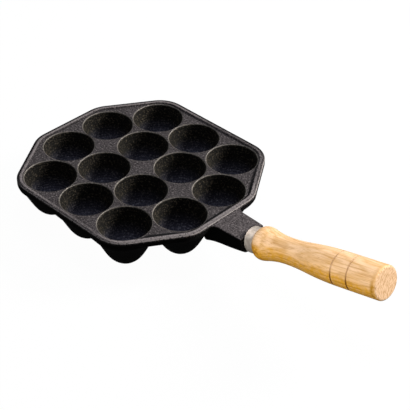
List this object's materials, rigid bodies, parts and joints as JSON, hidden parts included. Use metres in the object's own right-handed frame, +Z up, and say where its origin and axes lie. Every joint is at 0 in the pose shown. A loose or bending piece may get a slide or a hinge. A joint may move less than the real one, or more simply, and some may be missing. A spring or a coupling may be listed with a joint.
{
  "type": "takoyaki maker",
  "caption": "Stovetop takoyaki pan: an octagonal cast iron plate of deep round cups inside a low rim, with a flat neck, a steel ferrule and a turned wooden handle.",
  "frame": {"origin": "middle of the assembly's box, on the plane that the cups' feet stand on", "axes": "+X from the plate towards the handle's end, +Y across the plate, +Z up out of the cups"},
  "size_m": [0.3274, 0.1664, 0.0695],
  "materials": {
    "cast_iron": "sand-cast iron, seasoned black, matt, finely grained, greyer on the flat web and the rim",
    "stud_steel": "zinc-plated steel, rolled threads",
    "ferrule_steel": "satin nickel-plated sheet steel with a turned-in front edge",
    "wood": "lathe-turned light hardwood with a thin clear varnish, bare end grain and two burnt grooves"
  },
  "bodies": {
    "root": {"pan": "cast_iron", "handle_stud": "stud_steel", "ferrule": "ferrule_steel", "grip": "wood"}
  },
  "joints": []
}
